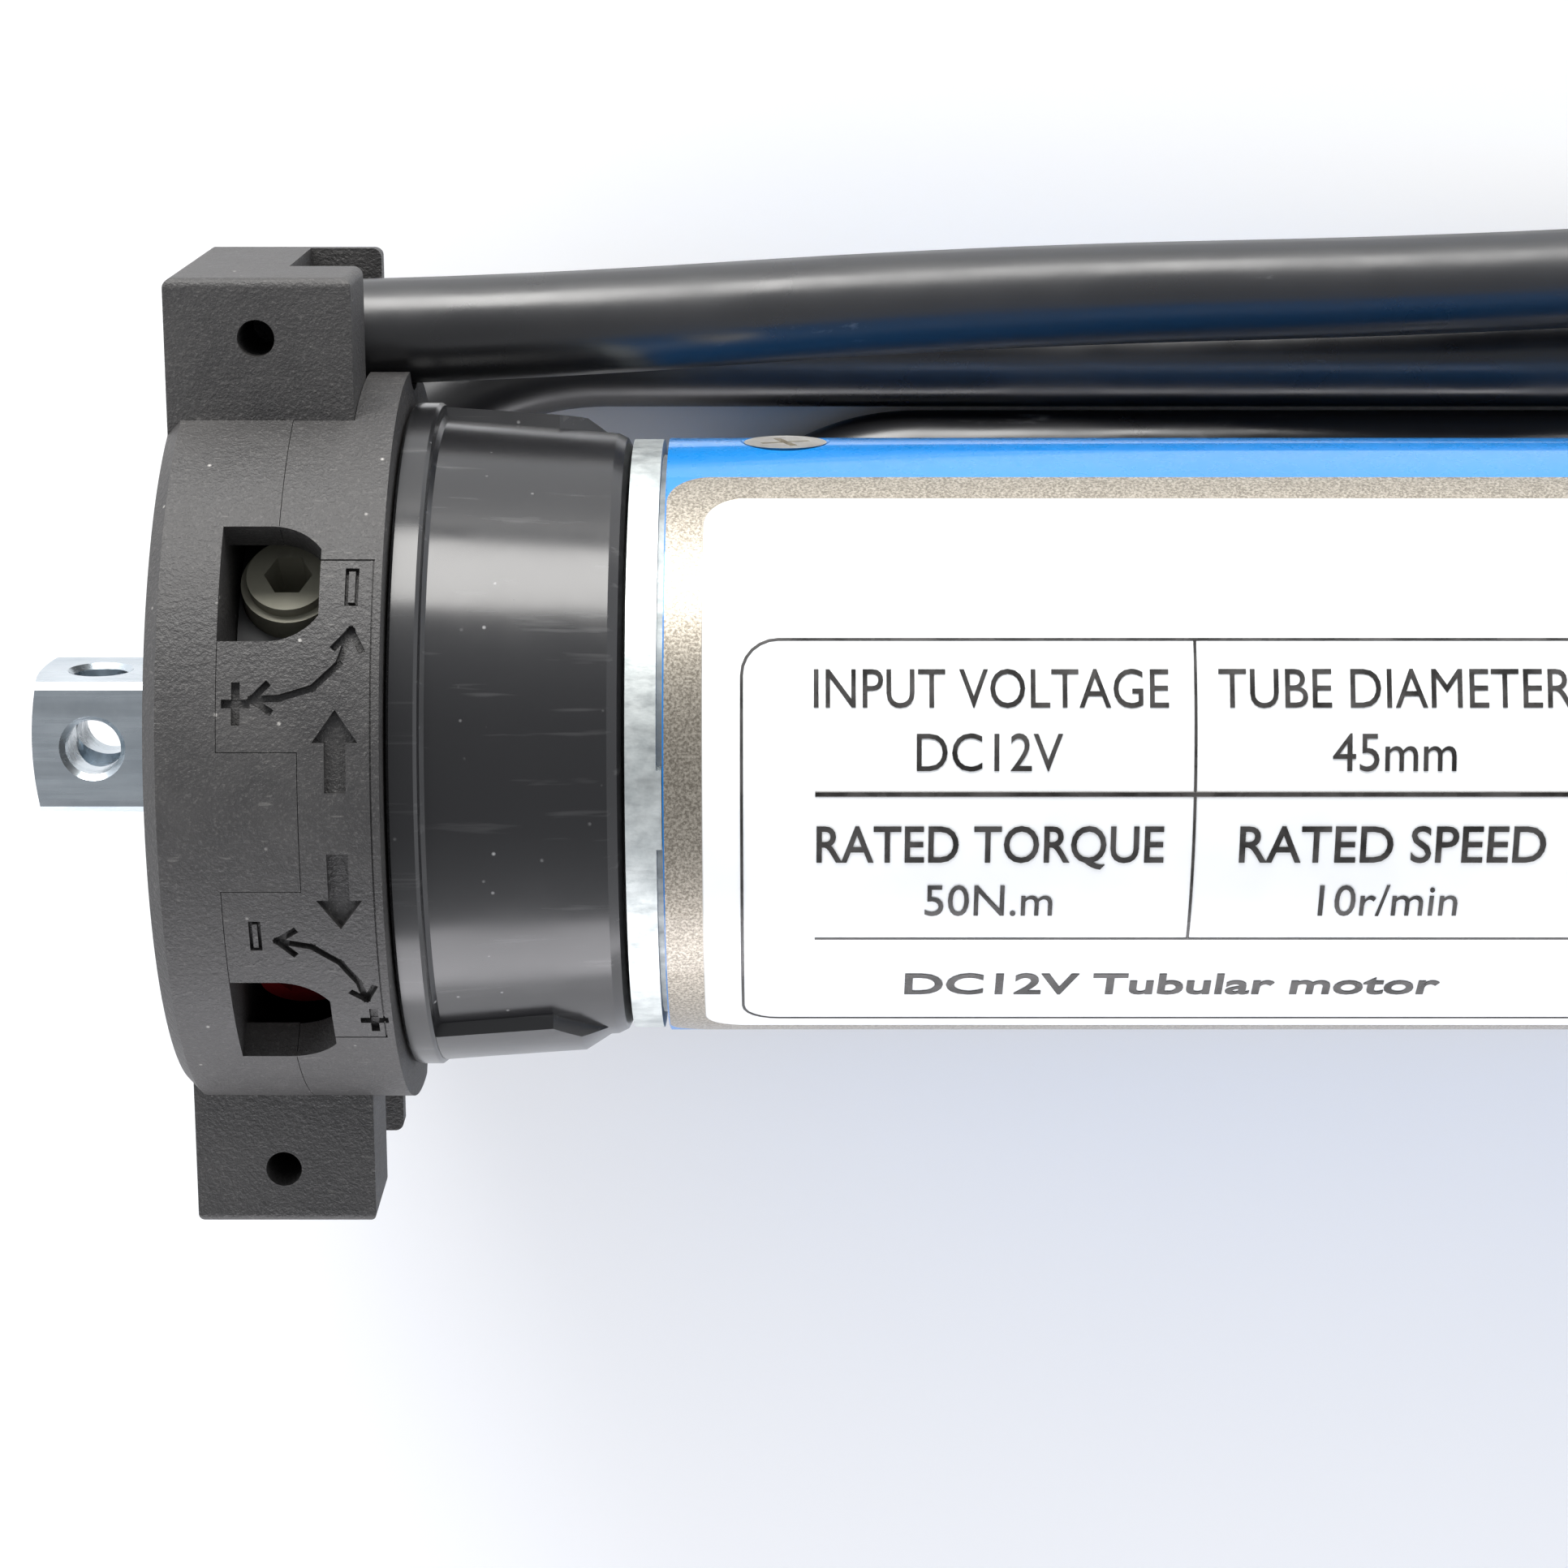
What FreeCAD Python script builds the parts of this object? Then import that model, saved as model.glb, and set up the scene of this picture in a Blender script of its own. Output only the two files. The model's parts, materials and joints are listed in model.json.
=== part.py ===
import FreeCAD, Part
import math
import os

os.makedirs("parts", exist_ok=True)

V = FreeCAD.Vector

# ---------------------------------------------------------------------------
# Driving dimensions, millimetres.  X is the motor axis, X = 0 the face that
# meets the bracket, +X runs to the output shaft.  +Z is up with the motor
# lying flat, +Y is the side where the cable leaves.
# Angles round the axis are measured from +Z towards +Y.
# ---------------------------------------------------------------------------
TUBE_R = 22.5            # 45 mm tube
TUBE_WALL = 1.2
TUBE_X0, TUBE_X1 = 35.9, 380.0
FIT = 0.05               # gap between pieces that are assembled together

HEAD_R = 27.6
HEAD_X1 = 16.5
SEAM_X = 5.2             # front cover / rear body seam beside the windows
SEAM_SIDE_X = 9.1        # the same seam outside the windows
TONGUE_X, TONGUE_A = 10.8, 10.4
WINDOW_A, WINDOW_HALF_A = 35.75, 9.15
WINDOW_X1 = 12.2
LINE_X, LINE_A, LINE_DEPTH = 15.9, 39.2, 0.15    # moulding line behind the marks
MARK_DEPTH = 0.6         # depth of the direction marks

LUG_X1, LUG_Y1 = 13.5, 35.8
LUG_Z0, LUG_Z1 = -12.6, 10.3
LUG_HOLE_X, LUG_HOLE_Y, LUG_HOLE_R = 6.6, 31.5, 1.35

PIN_SIDE, PIN_X0, PIN_X1 = 10.0, -12.5, 9.0
PIN_HOLE_X, PIN_HOLE_R = -7.5, 2.1

LIMIT_R, LIMIT_X0, LIMIT_X1 = 19.0, 5.3, 70.0

CROWN_X0, CROWN_X1 = 16.7, 33.0
CROWN_BORE = 19.08
RIB_ANGLES = (-66.0, 114.0)

RING_X0, RING_X1, RING_R = 33.25, 35.45, 22.4
TAB_ANGLE, TAB_W, TAB_L = -1.0, 5.8, 0.4

SCREW_X, SCREW_HEAD_R = 44.6, 3.1
GEAR_SCREW_X = 366.0

LABEL_X0, LABEL_X1, LABEL_A = 36.0, 135.0, 69.0

CABLE_R = 4.0
CABLE_Y, CABLE_Z = 30.1, -4.4
FLOOR_Z = -36.0
LANE_Z = FLOOR_Z + CABLE_R
LEAD_X1 = 165.0

MODULE, SUN_Z, PLANET_Z, RING_Z = 0.6, 12, 24, 60
ORBIT_R = MODULE * (SUN_Z + PLANET_Z) / 2
STAGE_X = (256.0, 284.0, 312.0)
FACE_W = 16.0
CROWN_MODULE, CROWN_Z, PINION_Z = 0.8, 50, 12
PINION_R = CROWN_MODULE * (CROWN_Z - PINION_Z) / 2

SHAFT_R, SHAFT_X1 = 7.0, 420.0


# ---------------------------------------------------------------------------
# Helpers
# ---------------------------------------------------------------------------
def cyl(r, x0, x1, y=0.0, z=0.0):
    return Part.makeCylinder(r, x1 - x0, V(x0, y, z), V(1, 0, 0))


def tube(ro, ri, x0, x1, y=0.0, z=0.0):
    return cyl(ro, x0, x1, y, z).cut(cyl(ri, x0 - 1, x1 + 1, y, z))


def box(x0, x1, y0, y1, z0, z1):
    return Part.makeBox(x1 - x0, y1 - y0, z1 - z0, V(x0, y0, z0))


def turned(points):
    """Solid of revolution about the X axis from (x, r) points."""
    wire = Part.makePolygon([V(x, 0, r) for x, r in points + points[:1]])
    return Part.Face(wire).revolve(V(0, 0, 0), V(1, 0, 0), 360)


def round_x(shape, angle):
    """Turn a shape drawn at +Z to an angle measured towards +Y."""
    out = shape.copy()
    out.rotate(V(0, 0, 0), V(1, 0, 0), -angle)
    return out


def at(angle, r):
    a = math.radians(angle)
    return r * math.sin(a), r * math.cos(a)


def wedge(a0, a1, x0, x1, r=60.0):
    """Sector of a large disc between two angles, at most 170 degrees wide."""
    mid = (a0 + a1) / 2
    far = r / math.cos(math.radians((a1 - a0) / 2))
    pts = [V(x0, 0, 0)]
    for a in (a0, mid, a1):
        y, z = at(a, far)
        pts.append(V(x0, y, z))
    face = Part.Face(Part.makePolygon(pts + pts[:1]))
    return face.extrude(V(x1 - x0, 0, 0))


def radial(r, r0, r1, x, angle):
    """Cylinder along a radius, from r0 to r1, at X = x."""
    return round_x(Part.makeCylinder(r, r1 - r0, V(x, 0, r0), V(0, 0, 1)), angle)


def radial_cone(ra, rb, r0, r1, x, angle):
    return round_x(Part.makeCone(ra, rb, r1 - r0, V(x, 0, r0), V(0, 0, 1)), angle)


def gear_points(teeth, module, add, ded, thin, phase, flank=3):
    """Outline of a spur gear with involute flanks drawn as short straights."""
    alpha = math.radians(25)
    rp = module * teeth / 2
    rb = rp * math.cos(alpha)
    ra, rf = rp + add, rp - ded
    start = max(rb, rf)
    half = math.pi / (2 * teeth) - thin / (2 * rp) + math.tan(alpha) - alpha
    side = []
    if rf < start - 0.01:
        side.append((rf, half))
    for i in range(flank + 1):
        r = start + (ra - start) * i / flank
        b = math.acos(min(1.0, rb / r))
        side.append((r, half - math.tan(b) + b))
    out = []
    for k in range(teeth):
        c = phase + 2 * math.pi * k / teeth
        out += [(r, c - a) for r, a in side]
        out += [(r, c + a) for r, a in reversed(side)]
    return out


def gear(points, x0, x1, y=0.0, z=0.0):
    """Extrude an outline of (r, angle); angle zero points to +Z, then +Y."""
    pts = [V(x0, y + r * math.sin(a), z + r * math.cos(a)) for r, a in points]
    return Part.Face(Part.makePolygon(pts + pts[:1])).extrude(V(x1 - x0, 0, 0))


def rounded_path(points, ratio=0.45):
    """Straight runs joined by tangent arcs through hand-placed points."""
    pts = [V(*p) for p in points]
    edges = []
    last = pts[0]
    radii = []
    for a, b, c in zip(pts, pts[1:], pts[2:]):
        u = (a - b).normalize()
        w = (c - b).normalize()
        half = u.getAngle(w) / 2
        cut = ratio * min((a - b).Length, (c - b).Length)
        p, q = b + u * cut, b + w * cut
        mid_dir = (u + w).normalize()
        r = cut * math.tan(half)
        m = b + mid_dir * (r / math.sin(half) - r)
        edges.append(Part.LineSegment(last, p).toShape())
        edges.append(Part.Arc(p, m, q).toShape())
        radii.append(r)
        last = q
    edges.append(Part.LineSegment(last, pts[-1]).toShape())
    return Part.Wire(edges), radii


def sweep(points, r):
    path, radii = rounded_path(points)
    direction = V(*points[1]) - V(*points[0])
    section = Part.Wire([Part.makeCircle(r, V(*points[0]), direction)])
    print("smallest bend radius %.1f mm" % min(radii))
    return path.makePipeShell([section], True, True)


def save(name, *shapes):
    solids = []
    for shape in shapes:
        solids += shape.Solids
    bad = [s for s in solids if not s.isValid() or s.Volume <= 0]
    out = solids[0] if len(solids) == 1 else Part.makeCompound(solids)
    out.exportStep("parts/%s.step" % name)
    print("%-22s %2d solid(s)  %9.1f mm3 %s" % (name, len(solids), out.Volume, "BAD" if bad else ""))


# ---------------------------------------------------------------------------
# Head: front cover with the two lugs, rear body, square pin
# ---------------------------------------------------------------------------
def lug(side, grow=0.0):
    y0, y1 = 20.0, LUG_Y1 + grow
    body = box(-grow, LUG_X1 + grow, y0, y1, LUG_Z0 - grow, LUG_Z1 + grow)
    if grow == 0:
        edges = [e for e in body.Edges if e.BoundBox.YMin > y0 + 1]
        body = body.makeFillet(0.7, edges)
    if side < 0:
        body = body.mirror(V(0, 0, 0), V(0, 1, 0))
    return body


def pocket(side):
    cut = box(8.1, LUG_X1 + 4, 24.9, LUG_Y1 + 2, -10.8, 2.0)
    if side < 0:
        cut = cut.mirror(V(0, 0, 0), V(0, 1, 0))
    return cut


def window_cut(angle):
    """D-shaped opening: square on the seam side, round on the other."""
    x_mid = WINDOW_X1 - 3.6
    w = 4.4
    slot = box(SEAM_X, x_mid, -w, w, 20.0, 30.0)
    end = Part.makeCylinder(w, 10, V(x_mid, 0, 20), V(0, 0, 1))
    end = end.common(box(x_mid - 0.1, WINDOW_X1, -w, w, 20.0, 30.0))
    return round_x(slot.fuse(end).removeSplitter(), angle)


front = turned([(0, 0), (0, HEAD_R - 1.0), (1.0, HEAD_R), (SEAM_X, HEAD_R), (SEAM_X, 0)])
skirt = tube(HEAD_R, 24.6, SEAM_X - 0.01, SEAM_SIDE_X)
skirt = skirt.cut(wedge(-45.0, 45.0, 0, 20))
tongue = tube(HEAD_R, 24.6, SEAM_X - 0.01, TONGUE_X)
tongue = tongue.common(wedge(-TONGUE_A, TONGUE_A, 0, 20))
front = front.fuse([skirt, tongue, lug(1), lug(-1)])
front = front.cut(cyl(24.6, SEAM_X, 40))
for side in (1, -1):
    front = front.cut(pocket(side))
    front = front.cut(window_cut(side * WINDOW_A))
    hole = Part.makeCylinder(LUG_HOLE_R, 10, V(LUG_HOLE_X, side * LUG_HOLE_Y, 1.5), V(0, 0, 1))
    front = front.cut(hole)
front = front.cut(box(-1, 10, -5.05, 5.05, -5.05, 5.05))
front = front.removeSplitter()
save("head_front_cover", front)

rear = tube(HEAD_R, 24.7, SEAM_X + FIT, HEAD_X1)
rear = rear.fuse(tube(25.0, LIMIT_R + 0.1, 14.0, HEAD_X1))
rear = rear.cut(tube(40, 20, 0, SEAM_SIDE_X + FIT).cut(wedge(-45.0, 45.0, -1, 20)))
rear = rear.cut(tube(40, 20, 0, TONGUE_X + FIT).common(wedge(-TONGUE_A - 0.1, TONGUE_A + 0.1, -1, 20)))
for side in (1, -1):
    rear = rear.cut(lug(side, FIT))
    rear = rear.cut(window_cut(side * WINDOW_A))
rear = rear.cut(cyl(CABLE_R + 0.3, 0, 30, CABLE_Y, CABLE_Z))
rear = rear.cut(cyl(CABLE_R + 0.3, 0, 30, -CABLE_Y, CABLE_Z))

def stroke(points, width):
    """Straight groove pieces through (x, s) points, s measured round the head."""
    out = []
    for (xa, sa), (xb, sb) in zip(points, points[1:]):
        length = math.hypot(xb - xa, sb - sa)
        bar = box(-width / 2, length + width / 2, -width / 2, width / 2, HEAD_R - MARK_DEPTH, HEAD_R + 2)
        bar.rotate(V(0, 0, 0), V(0, 0, 1), math.degrees(math.atan2(sb - sa, xb - xa)))
        bar.translate(V(xa, 0, 0))
        out.append(round_x(bar, math.degrees(sa / HEAD_R)))
    return out


def solid_arrow(x, s, sign):
    """Broad arrow that points round the head."""
    pts = [(-0.75, -2.9), (0.75, -2.9), (0.75, 0.6), (1.6, 0.6), (0, 2.9), (-1.6, 0.6), (-0.75, 0.6)]
    outline = [V(x + u, sign * w, HEAD_R - MARK_DEPTH - 0.1) for u, w in pts]
    body = Part.Face(Part.makePolygon(outline + outline[:1])).extrude(V(0, 0, 3))
    return [round_x(body, math.degrees(s / HEAD_R))]


def direction_marks():
    cuts = solid_arrow(13.45, 5.1, 1) + solid_arrow(13.45, -5.1, -1)
    cuts += stroke([(14.5, 13.6), (13.7, 11.2), (11.9, 9.5), (9.6, 8.8), (7.7, 8.7)], 0.5)
    cuts += stroke([(13.4, 12.4), (14.5, 13.6), (15.2, 12.2)], 0.5)
    cuts += stroke([(8.7, 9.7), (7.7, 8.7), (8.9, 7.9)], 0.5)
    cuts += stroke([(6.6, 7.2), (6.6, 9.6)], 0.6) + stroke([(5.9, 8.4), (7.3, 8.4)], 0.6)
    cuts += stroke([(14.1, 15.5), (14.1, 18.1), (14.8, 18.1), (14.8, 15.5), (14.1, 15.5)], 0.25)
    cuts += stroke([(8.9, -9.0), (11.3, -9.5), (13.2, -10.9), (14.4, -12.8), (14.8, -14.5)], 0.5)
    cuts += stroke([(10.0, -10.1), (8.9, -9.0), (10.1, -8.2)], 0.5)
    cuts += stroke([(13.9, -13.8), (14.8, -14.5), (15.4, -13.3)], 0.5)
    cuts += stroke([(15.2, -15.8), (15.2, -17.8)], 0.6) + stroke([(14.5, -16.8), (15.9, -16.8)], 0.6)
    cuts += stroke([(7.1, -7.5), (7.1, -9.7), (7.7, -9.7), (7.7, -7.5), (7.1, -7.5)], 0.25)
    return cuts


def moulding_line():
    """Hairline round the field that holds the direction marks, open towards the windows."""
    half, floor = 0.06, HEAD_R - LINE_DEPTH
    arc = tube(HEAD_R + 1, floor, LINE_X - half, LINE_X + half).common(wedge(-LINE_A, LINE_A, 0, 20))
    out = [arc]
    for side in (1, -1):
        line = box(WINDOW_X1 - 2.0, LINE_X + half, -half, half, floor, HEAD_R + 2)
        out.append(round_x(line, side * LINE_A))
    return out


rear = rear.removeSplitter().cut(direction_marks() + moulding_line())
save("head_rear_body", rear)


pin = box(PIN_X0, PIN_X1, -PIN_SIDE / 2, PIN_SIDE / 2, -PIN_SIDE / 2, PIN_SIDE / 2)
pin = pin.makeChamfer(0.5, [e for e in pin.Edges if e.BoundBox.XLength > 5])
dome_r = 26.0
pin = pin.common(Part.makeSphere(dome_r, V(PIN_X0 + dome_r, 0, 0)))
for axis in (V(0, 0, 1), V(0, 1, 0)):
    pin = pin.cut(Part.makeCylinder(PIN_HOLE_R, 20, V(PIN_HOLE_X, 0, 0) - axis * 10, axis))
    for s in (1, -1):
        base = V(PIN_HOLE_X, 0, 0) + axis * (s * 4.6)
        cone = Part.makeCone(PIN_HOLE_R, PIN_HOLE_R + 0.4, 0.4, base, axis * s)
        pin = pin.cut(cone)
save("square_pin", pin)

plate = cyl(11.0, SEAM_X + 0.1, 8.2).cut(box(0, 10, -5.05, 5.05, -5.05, 5.05))
save("pin_plate", plate)

# ---------------------------------------------------------------------------
# Limit switch unit: housing, knobs, spindles, travelling nuts, pinion
# ---------------------------------------------------------------------------
KNOB_A = 45.0
KNOB_X = 9.05
KNOB_R = 3.5
SPINDLE_R0 = 10.5

limit = cyl(LIMIT_R, LIMIT_X0, LIMIT_X1)
limit = limit.cut(cyl(16.6, 18.0, 67.0))
limit = limit.cut(cyl(11.1, 0, 8.25)).cut(box(0, 9.3, -5.1, 5.1, -5.1, 5.1))
for side in (1, -1):
    ang = side * KNOB_A
    sy, sz = at(ang, SPINDLE_R0)
    limit = limit.cut(radial(KNOB_R + 0.1, 11.5, 30, KNOB_X, ang))
    limit = limit.cut(cyl(3.5, KNOB_X, 14.0, sy, sz))
    limit = limit.cut(cyl(1.55, 5, 90, sy, sz))
boss = cyl(3.2, 17.5, 19.2, 0, -PINION_R).common(cyl(17.0, 0, 90))
limit = limit.fuse(boss)
rear_boss = box(27.4, 30.4, -3.0, 3.0, -17.5, -PINION_R + 3).common(cyl(17.2, 0, 90))
limit = limit.fuse(rear_boss)
limit = limit.cut(cyl(1.55, 16.5, 29.8, 0, -PINION_R))
limit = limit.cut(box(19.4, 27.2, -6.2, 6.2, -24, -8.0))
limit = limit.cut(box(50, 64, -8.0, 8.0, 17.6, 30).common(cyl(19.5, 0, 90)))
limit = limit.removeSplitter()
save("limit_housing", limit)

for side, colour in ((1, "white"), (-1, "red")):
    ang = side * KNOB_A
    sy, sz = at(ang, SPINDLE_R0)
    knob = radial(KNOB_R, 13.6, 20.6, KNOB_X, ang)
    knob = knob.fuse(radial(3.0, 20.5, 21.5, KNOB_X, ang))
    knob = knob.fuse(radial_cone(0.9, 2.6, SPINDLE_R0 + 1.3, 13.7, KNOB_X, ang))
    hexes = [V(KNOB_X + 1.73 * math.cos(math.radians(60 * i)), 1.73 * math.sin(math.radians(60 * i)), 17)
             for i in range(6)]
    socket = Part.Face(Part.makePolygon(hexes + hexes[:1])).extrude(V(0, 0, 6))
    knob = knob.cut(round_x(socket, ang))
    save("knob_" + colour, knob.removeSplitter())

    cone = Part.makeCone(0.9, 2.6, 1.9, V(KNOB_X + 1.3, sy, sz), V(1, 0, 0))
    spindle = cone.fuse(cyl(2.6, KNOB_X + 3.2, 13.8, sy, sz)).fuse(cyl(1.5, 12, 69.5, sy, sz))
    spindle = spindle.removeSplitter()
    save("spindle_" + colour, spindle)
    nut = box(33, 39, -3.6, 3.6, SPINDLE_R0 - 3.4, SPINDLE_R0 + 3.4)
    nut = nut.fuse(box(34.5, 37.5, -1.2, 1.2, SPINDLE_R0 + 3.3, SPINDLE_R0 + 4.6))
    nut = nut.cut(cyl(1.6, 0, 90, 0, SPINDLE_R0))
    save("nut_" + colour, round_x(nut, ang))

switches = []
for side in (1, -1):
    block = box(48, 62, -4.5, 4.5, -6.5, -1.0)
    lever = box(47.0, 48.05, -1.5, 1.5, -1.9, 0.6)
    one = block.fuse(lever)
    one.translate(V(0, side * 6.0, 0))
    switches.append(one.removeSplitter())
save("micro_switches", *switches)

pinion_pts = gear_points(PINION_Z, CROWN_MODULE, 0.62, 0.8, 0.22, math.pi / PINION_Z)
pinion = gear(pinion_pts, 20.2, 26.2)
pinion = pinion.fuse(cyl(1.48, 17.0, 29.4)).removeSplitter()
pinion.translate(V(0, 0, PINION_R))
save("limit_pinion", round_x(pinion, 180))

# ---------------------------------------------------------------------------
# Crown wheel with its inner toothing and two drive ribs
# ---------------------------------------------------------------------------
crown = turned([(CROWN_X0, 18.9), (CROWN_X0, 24.95), (16.9, 25.15), (18.6, 25.15), (18.85, 24.95),
                (18.95, 24.2), (19.25, 23.85), (32.0, 22.85), (32.7, 22.5), (CROWN_X1, 21.9),
                (CROWN_X1, 18.9)])
for ang in RIB_ANGLES:
    rib = turned([(18.0, 20), (18.0, 24.9), (29.5, 24.1), (31.4, 22.9), (31.4, 20)])
    span = [V(17.0, -6.4, 0), V(27.5, -6.4, 0), V(31.4, -2.2, 0),
            V(31.4, 2.2, 0), V(27.5, 6.4, 0), V(17.0, 6.4, 0)]
    keep = Part.Face(Part.makePolygon(span + span[:1])).extrude(V(0, 0, 40))
    crown = crown.fuse(rib.common(round_x(keep, ang)))
crown = crown.cut(cyl(CROWN_BORE, 0, 60))
inner_pts = gear_points(CROWN_Z, CROWN_MODULE, 0.85, 0.62, -0.12, math.pi / CROWN_Z)
teeth = round_x(gear(inner_pts, 19.6, 26.8), 180)
crown = crown.cut(teeth).removeSplitter()
save("crown_wheel", crown)

# ---------------------------------------------------------------------------
# Die-cast ring, tube, label and screws
# ---------------------------------------------------------------------------
tube_in = TUBE_R - TUBE_WALL


def screw(x, angle):
    head = radial_cone(1.5, SCREW_HEAD_R, TUBE_R - 1.75, TUBE_R - 0.05, x, angle)
    shank = radial(1.5, 19.35, TUBE_R - 1.6, x, angle)
    out = head.fuse(shank)
    for turn in (0, 90):
        slot = box(-1.9, 1.9, -0.3, 0.3, TUBE_R - 1.1, TUBE_R + 1)
        slot.rotate(V(0, 0, 0), V(0, 0, 1), turn + 20)
        slot.translate(V(x, 0, 0))
        out = out.cut(round_x(slot, angle))
    return out.removeSplitter()


def screw_hole(x, angle):
    sink = radial_cone(1.58, SCREW_HEAD_R + 0.63, TUBE_R - 1.85, TUBE_R + 0.4, x, angle)
    return sink.fuse(radial(1.58, 10, TUBE_R - 1.8, x, angle))


FRONT_SCREWS = [(SCREW_X, a) for a in (90, 180, 270)]
GEAR_SCREWS = [(GEAR_SCREW_X, a) for a in (45, 135, 225, 315)]

ring = tube(RING_R, LIMIT_R + 0.06, RING_X0, RING_X1)
ring = ring.fuse(tube(tube_in - 0.08, LIMIT_R + 0.06, RING_X1 - 0.1, 52.0))
tab = tube(RING_R, tube_in - 0.2, RING_X1 - 0.1, RING_X1 + TAB_L)
ring = ring.fuse(tab.common(round_x(box(0, 60, -TAB_W / 2, TAB_W / 2, 0, 40), TAB_ANGLE)))
for x, a in FRONT_SCREWS:
    ring = ring.cut(screw_hole(x, a))
save("end_ring", ring.removeSplitter())

outer = tube(TUBE_R, tube_in, TUBE_X0, TUBE_X1)
for x, a in FRONT_SCREWS + GEAR_SCREWS:
    outer = outer.cut(screw_hole(x, a))
save("motor_tube", outer)
save("tube_screws", *[screw(x, a) for x, a in FRONT_SCREWS])
save("gearbox_screws", *[screw(x, a) for x, a in GEAR_SCREWS])

skin = tube(TUBE_R + 0.12, TUBE_R + 0.02, LABEL_X0, LABEL_X1).common(wedge(-LABEL_A, LABEL_A, 0, 200))
save("tube_label", skin)

# ---------------------------------------------------------------------------
# Spring-applied brake
# ---------------------------------------------------------------------------
coil_case = cyl(18.6, 74.0, 92.0).cut(tube(15.0, 9.0, 80.0, 93.0)).cut(cyl(5.2, 73, 93))
coil_case = coil_case.cut(tube(8.0, 5.2, 88.0, 93.0))
save("brake_coil_housing", coil_case)
save("brake_coil", tube(14.8, 9.2, 80.2, 90.5))
plate_disc = tube(16.0, 4.2, 92.8, 95.3)
save("brake_plate", plate_disc)
save("brake_spring", tube(7.6, 5.5, 88.2, 92.4))
save("brake_disc", tube(15.0, 3.03, 95.6, 99.0).fuse(tube(5.5, 3.03, 98.9, 103.0)).removeSplitter())

# ---------------------------------------------------------------------------
# DC motor
# ---------------------------------------------------------------------------
MOTOR_X0, MOTOR_X1, CAN_R = 108.0, 246.0, 19.4
save("motor_can", tube(CAN_R, CAN_R - 1.8, MOTOR_X0 + 4, MOTOR_X1 - 4))
cap_f = cyl(CAN_R, MOTOR_X0, MOTOR_X0 + 3.95).fuse(cyl(CAN_R - 1.88, MOTOR_X0 + 3.9, MOTOR_X0 + 9))
cap_f = cap_f.cut(cyl(8.05, MOTOR_X0 + 3, MOTOR_X0 + 20)).cut(cyl(4.0, 0, 200))
save("motor_front_cap", cap_f.removeSplitter())
cap_r = cyl(CAN_R, MOTOR_X1 - 3.95, MOTOR_X1).fuse(cyl(CAN_R - 1.88, MOTOR_X1 - 9, MOTOR_X1 - 3.9))
cap_r = cap_r.cut(cyl(8.05, MOTOR_X1 - 20, MOTOR_X1 - 3)).cut(cyl(4.0, 200, 300))
save("motor_rear_cap", cap_r.removeSplitter())
save("front_bearing", tube(8.0, 3.04, MOTOR_X0 + 3.05, MOTOR_X0 + 8.0))
save("rear_bearing", tube(8.0, 3.04, MOTOR_X1 - 8.0, MOTOR_X1 - 3.05))
magnet_ring = tube(CAN_R - 1.88, 14.6, 150.0, 224.0)
save("magnets", *[magnet_ring.common(wedge(a - 65, a + 65, 0, 300)) for a in (0, 180)])
holder = tube(CAN_R - 1.88, 10.0, 128.0, 138.0)
brushes = []
for side in (1, -1):
    slot = box(129.5, 136.5, 6, 17.2, -2.6, 2.6)
    brush = box(129.6, 136.4, 7.15, 16.0, -2.5, 2.5)
    if side < 0:
        slot = slot.mirror(V(0, 0, 0), V(0, 1, 0))
        brush = brush.mirror(V(0, 0, 0), V(0, 1, 0))
    holder = holder.cut(slot)
    brushes.append(brush)
save("brush_holder", holder)
save("carbon_brushes", *brushes)

core = cyl(13.9, 152.0, 222.0).cut(cyl(3.03, 100, 300))
windings = []
for k in range(12):
    a = 30 * k
    slot = round_x(box(150, 225, -1.3, 1.3, 8.0, 12.6), a)
    slot = slot.fuse(round_x(box(150, 225, -0.5, 0.5, 12.5, 20), a))
    core = core.cut(slot)
    windings.append(round_x(box(146, 228, -1.2, 1.2, 8.1, 12.5), a))
save("armature_core", core)
save("armature_windings", *windings)
save("commutator", tube(7.0, 3.03, 127.0, 139.0))
shaft = cyl(3.0, 78.0, 250.0).fuse(cyl(1.9, 249.9, STAGE_X[0] + FACE_W)).removeSplitter()
save("motor_shaft", shaft)

# ---------------------------------------------------------------------------
# Three-stage planetary gearbox
# ---------------------------------------------------------------------------
ADD, DED, THIN = 0.42, 0.62, 0.14
sun_pts = gear_points(SUN_Z, MODULE, ADD, DED, THIN, 0.0)
planet_pts = gear_points(PLANET_Z, MODULE, ADD, DED, THIN, math.pi / PLANET_Z)
ring_pts = gear_points(RING_Z, MODULE, DED, ADD, -0.06, math.pi / RING_Z, 2)
PLANET_BORE, PEG_R = 2.5, 2.46

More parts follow.
